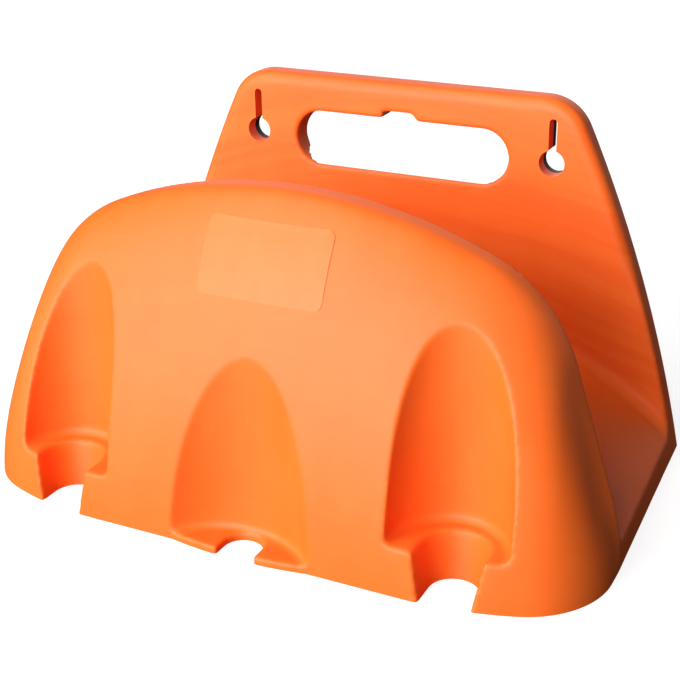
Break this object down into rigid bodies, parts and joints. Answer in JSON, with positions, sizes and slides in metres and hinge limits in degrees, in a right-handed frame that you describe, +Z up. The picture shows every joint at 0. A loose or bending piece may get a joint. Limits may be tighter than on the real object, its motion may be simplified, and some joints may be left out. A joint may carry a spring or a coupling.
{
  "type": "wall hose hanger",
  "caption": "One-piece wall hanger for a coiled garden hose: back plate with keyholes and hand slot, arched saddle, and a leaning hood with tool seats.",
  "frame": {"origin": "on the floor plane, in the middle of the footprint", "axes": "+Z up, +Y towards the wall, +X to the right for someone facing the wall"},
  "size_m": [0.3488, 0.2113, 0.195],
  "materials": {
    "orange_plastic": "satin moulded polypropylene",
    "label_film": "satin printed film, bare"
  },
  "bodies": {
    "root": {"hanger_body": "orange_plastic", "front_label": "label_film"}
  },
  "joints": []
}
